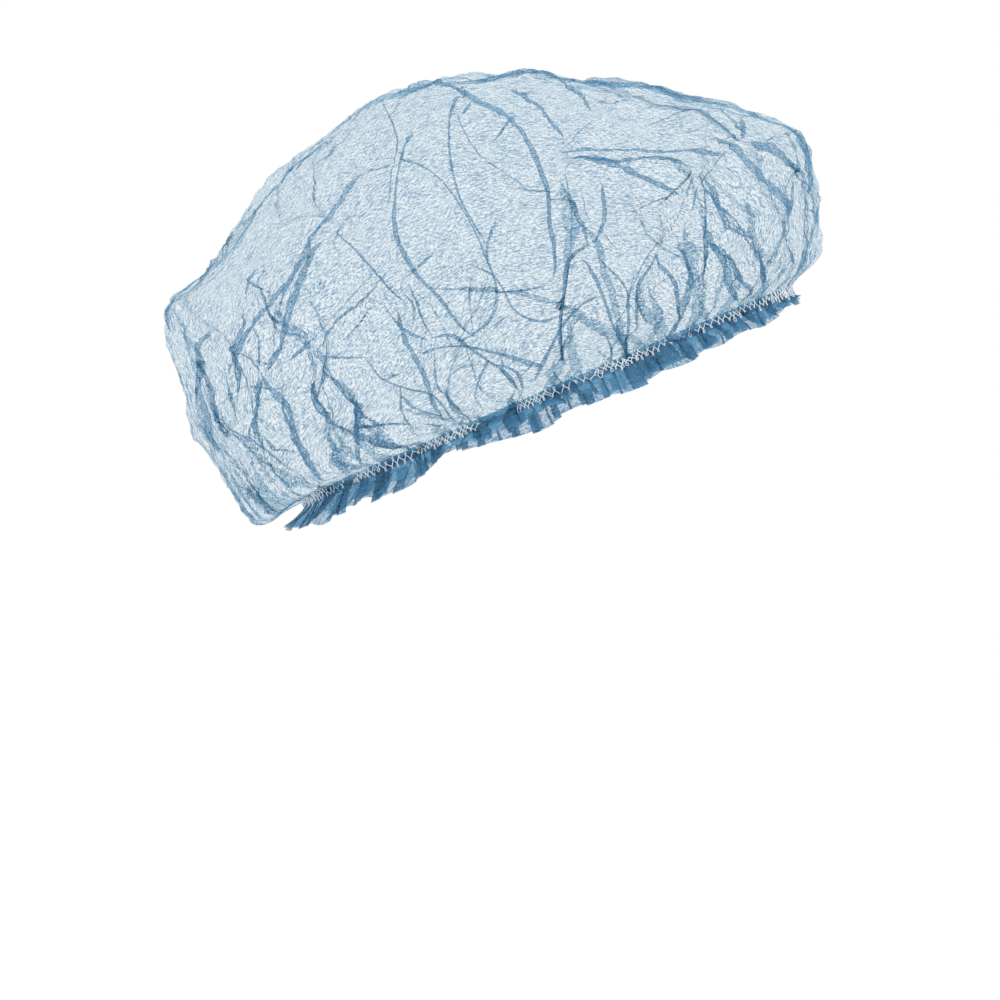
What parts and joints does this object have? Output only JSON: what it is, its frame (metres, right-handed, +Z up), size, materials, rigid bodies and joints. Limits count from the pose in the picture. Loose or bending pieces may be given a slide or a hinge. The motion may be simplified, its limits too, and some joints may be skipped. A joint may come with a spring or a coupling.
{
  "type": "disposable bouffant hairnet",
  "caption": "Puffed bouffant hair cap of thin blue nonwoven cloth, gathered onto an elastic loop with a short pleated frill, in the shape it has on a head.",
  "frame": {"origin": "middle of the elastic loop, in the plane of the loop, where the head goes in", "axes": "+Z up with the wearer's head upright, -Y the way the wearer looks, +X the wearer's left; the loop is tilted, high at the forehead and low at the nape"},
  "size_m": [0.2173, 0.25, 0.1723],
  "materials": {
    "nonwoven": "thin spunbonded fibres, see-through, matte",
    "elastic": "flat knitted elastic and white sewing thread, matte"
  },
  "bodies": {
    "root": {"crown": "nonwoven", "hem_frill": "nonwoven", "elastic_band": "elastic"}
  },
  "joints": []
}
